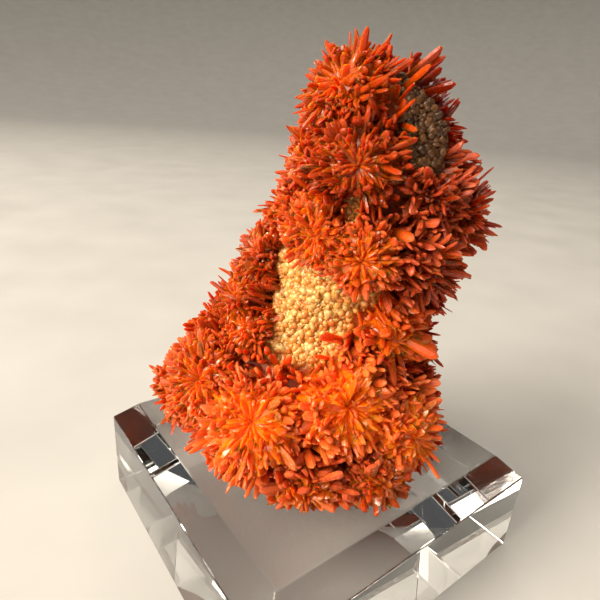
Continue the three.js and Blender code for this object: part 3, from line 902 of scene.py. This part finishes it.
def valley_crystals(chance):
    """The spray that each crystal on the rock near a meeting face belongs to, the one whose growth reached
    its root first, and these upright crystals' roots, tips, half widths, share of lean and roll."""
    angle, height = scattered_on_rock(VALLEY_TRIES, chance)
    roots, normals = rock_point(angle, height), rock_normal(angle, height)
    gaps = ((roots[:, None] - spray_centres) ** 2).sum(axis=2) - spray_reaches**2
    nearest = np.argsort(gaps, axis=1)[:, :2]
    first, second = nearest.T
    row = np.arange(len(roots))
    span = np.linalg.norm(spray_centres[first] - spray_centres[second], axis=1)
    off_face = (gaps[row, second] - gaps[row, first]) / (2 * span)
    closed = chance.uniform(*VALLEY_HEART_SHARE, len(roots)) < heart_shares[first]
    kept = closed & (off_face < VALLEY_NEAR) & (bareness(angle, height) < VALLEY_BAREST)
    roots, normals, first = roots[kept], normals[kept], first[kept]
    tall = chance.uniform(*VALLEY_HEIGHT, len(roots)) * spray_reaches[first]
    lean = unit(normals + chance.normal(scale=VALLEY_JITTER, size=normals.shape))
    tips = roots + lean * tall[:, None]
    tips[:, 2] = np.maximum(tips[:, 2], 2 * BLOCK_CLEARANCE)
    widths = chance.uniform(*VALLEY_HALF_WIDTH, len(roots))
    return first, roots, tips, widths, np.ones(len(roots)), chance.uniform(0.0, math.pi, len(roots))


def dusting(share, gain, start):
    """How thick dust lies at a share of lean or length: the share times the gain less the start."""
    return np.clip(share * gain - start, 0.0, 1.0)


def dress_spray(order, name):
    """One spray: its heart, and a joined mesh of its long, short and valley crystals."""
    chance = np.random.default_rng((CRYSTAL_SEED, order))
    count, lit_paleness, closed = int(spray_counts[order]), spray_paleness_and_light[order], spray_closed[order]
    ends = cap_directions(spray_axes[order], HEART_ENDS, chance)
    end_reach = chance.uniform(HEART_LOWEST_END, 1.0, HEART_ENDS) * spray_hearts[order]
    heart_points, heart_faces, rise = heart_surface(order, ends, end_reach)
    heart = add_piece(name.replace("spray", "heart"), specimen_place(heart_points), *heart_faces)
    set_values(heart, "rise", rise)
    # The heart's tone follows its spray's paleness, partly painted light and shade.
    set_values(heart, "tone_and_shade", np.full(len(heart_points), HEART_TONE + (1.0 - HEART_TONE) * lit_paleness))
    heart.data.materials.append(amber)
    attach(heart, "root")
    groups = (
        long_crystals(order, count, spray_widths[order], spray_middles[order], chance),
        short_crystals(order, int(SHORT_SHARE * count * heart_shares[order]), ends, end_reach, chance),
        [values[valley_owner == order] for values in valley_values],
    )
    roots, tips, widths, rim, roll = (np.concatenate(group) for group in zip(*groups))
    total = len(roots)
    points, faces, share = crystal_surface(
        roots,
        tips,
        widths,
        chance.uniform(*CRYSTAL_FLATNESS, total),
        chance.uniform(*CRYSTAL_SHOULDER, total),
        roll,
        np.clip(spray_bluntness[order] + chance.normal(scale=BLUNT_JITTER, size=total), 0.0, 1.0),
        chance.normal(scale=END_SLANT, size=total),
    )
    each = len(points) // total
    crystals = add_piece(name.replace("spray", "crystals"), specimen_place(points), faces)
    # Closed sprays' crystals start on the amber: partly painted glow of light passing through the heart.
    set_values(crystals, "along", share + AMBER_GLOW_ROOTS * closed * (1.0 - share))
    # A crystal's tone follows its spray's paleness, partly painted light and shade, and chance.
    chance_tone = (CHANCE_TONE + CHANCE_TONE_GAIN * lit_paleness) * chance.uniform(size=total)
    set_values(crystals, "tone_and_shade", np.repeat(CRYSTAL_TONE * lit_paleness + chance_tone, each))
    leaning_out = np.maximum(dusting(np.repeat(rim, each), *DUST_OVER_LEAN), 1.0 - closed)
    set_values(crystals, "dust", spray_dust[order] * leaning_out * dusting(share, *DUST_OVER_LENGTH))
    crystals.data.materials.append(orange_crystal)
    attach(crystals, "root")
    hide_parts(name)


valley_owner, *valley_values = valley_crystals(np.random.default_rng(CRYSTAL_SEED))
for order, name in enumerate(SPRAYS):
    dress_spray(order, name)

# Studio
# A pale matt floor that rises to a backdrop, with a film of air between it and the block. A warm key
# light and a large soft one stand at the left in front, a weak one hangs behind, and some light comes
# from all round.
FLOOR_LEVEL = -0.05
FLOOR_FLAT = 1200.0
FLOOR_RADIUS = 4000.0
FLOOR_RISE = 2500.0
FLOOR_RINGS = 40
FLOOR_SIDES = 96

# Lights: size, power in watts, distance, and the direction to the right, away and up as the camera sees it
LIGHTS = {
    "key light": (440.0, 14.0, 900.0, (-0.78, -0.46, 0.42)),
    "soft light": (1600.0, 32.0, 1600.0, (-0.50, -0.42, 0.76)),
    "back light": (1600.0, 14.0, 2300.0, (0.15, 0.48, 0.86)),
}
LIGHT_COLOUR = (1.0, 0.90, 0.76)
FILL_COLOUR = (0.95, 0.97, 1.0, 1.0)
FILL_STRENGTH = 0.08

# How often light may be mirrored or bent on its way through the clear block
LIGHT_STEPS = 20

paper, tree, shader = new_finish("pale floor")
mottle = object_noise(tree, scale=30.0, detail=4.0)
floor_colour = shades(tree, mottle.outputs["Fac"], (0.3, (0.50, 0.49, 0.47)), (0.7, (0.55, 0.54, 0.52)))
tree.links.new(floor_colour, shader.inputs["Base Color"])
tree.links.new(spread(tree, mottle.outputs["Fac"], low=0.65, high=0.8), shader.inputs["Roughness"])

floor_radius = np.linspace(FLOOR_RADIUS, FLOOR_FLAT, FLOOR_RINGS)
floor_turn = np.linspace(0.0, 2 * math.pi, FLOOR_SIDES, endpoint=False)
floor_radius, floor_turn = np.meshgrid(floor_radius, floor_turn, indexing="ij")
floor_height = FLOOR_RISE * ((floor_radius - FLOOR_FLAT) / (FLOOR_RADIUS - FLOOR_FLAT)) ** 2
floor_x = floor_radius * np.cos(floor_turn)
floor_y = floor_radius * np.sin(floor_turn)
floor_rings = np.stack((floor_x, floor_y, floor_height), axis=-1)
floor_points = np.vstack((floor_rings.reshape(-1, 3), (0.0, 0.0, 0.0))) + (0.0, 0.0, FLOOR_LEVEL)
floor = add_piece(
    "floor",
    floor_points,
    wrapped_quads(FLOOR_RINGS, FLOOR_SIDES),
    closing_fan((FLOOR_RINGS - 1) * FLOOR_SIDES, FLOOR_SIDES, FLOOR_RINGS * FLOOR_SIDES, upward=True),
)
floor.data.shade_smooth()
floor.data.materials.append(paper)

# The camera looks down at one corner of the block, a little tilted in the hand.
CAMERA_PLACE = np.array((-44.97, -51.99, 68.40))
CAMERA_YAW = math.radians(38.15)
CAMERA_PITCH = math.radians(21.74)
CAMERA_ROLL = math.radians(4.12)
CAMERA_LENS = 29.4
CAMERA_SENSOR = 36.0

view_right = np.array((math.cos(CAMERA_YAW), -math.sin(CAMERA_YAW), 0.0))
view_away = np.array((math.sin(CAMERA_YAW), math.cos(CAMERA_YAW), 0.0))
upright = np.array((0.0, 0.0, 1.0))
forward = view_away * math.cos(CAMERA_PITCH) - upright * math.sin(CAMERA_PITCH)
above = np.cross(view_right, forward)
image_right = view_right * math.cos(CAMERA_ROLL) + above * math.sin(CAMERA_ROLL)
image_up = above * math.cos(CAMERA_ROLL) - view_right * math.sin(CAMERA_ROLL)


def set_up(thing, right, up, back, place):
    """Turns a camera or light so that it looks against back, and puts it at a place in millimetres."""
    turn = Matrix((right, up, back)).transposed().to_4x4()
    thing.matrix_world = Matrix.Translation(place * MILLIMETRE) @ turn
    bpy.context.scene.collection.objects.link(thing)


camera = bpy.data.objects.new("camera", bpy.data.cameras.new("camera"))
camera.data.lens = CAMERA_LENS
camera.data.sensor_width = CAMERA_SENSOR
camera.data.clip_start = MILLIMETRE
set_up(camera, image_right, image_up, -forward, CAMERA_PLACE)
bpy.context.scene.camera = camera


def add_light(name, size, power, distance, direction):
    """A square light that shines on the middle of the specimen from a direction."""
    right_part, away_part, up_part = direction
    toward = unit(right_part * view_right + away_part * view_away + up_part * upright)
    light = bpy.data.objects.new(name, bpy.data.lights.new(name, "AREA"))
    light.data.size = size * MILLIMETRE
    light.data.energy = power
    light.data.color = LIGHT_COLOUR
    right = unit(np.cross(upright, toward))
    aim = np.array((0.0, 0.0, BLOCK_HEIGHT + ROCK_HEIGHT / 2))
    set_up(light, right, np.cross(toward, right), toward, aim + toward * distance)


for name, values in LIGHTS.items():
    add_light(name, *values)

world = bpy.data.worlds.new("studio")
world.use_nodes = True
sky = world.node_tree.nodes["Background"]
sky.inputs["Color"].default_value = FILL_COLOUR
sky.inputs["Strength"].default_value = FILL_STRENGTH
bpy.context.scene.world = world
bpy.context.scene.view_settings.view_transform = "Standard"
bpy.context.scene.cycles.max_bounces = LIGHT_STEPS
bpy.context.scene.cycles.glossy_bounces = LIGHT_STEPS
bpy.context.scene.cycles.transmission_bounces = LIGHT_STEPS
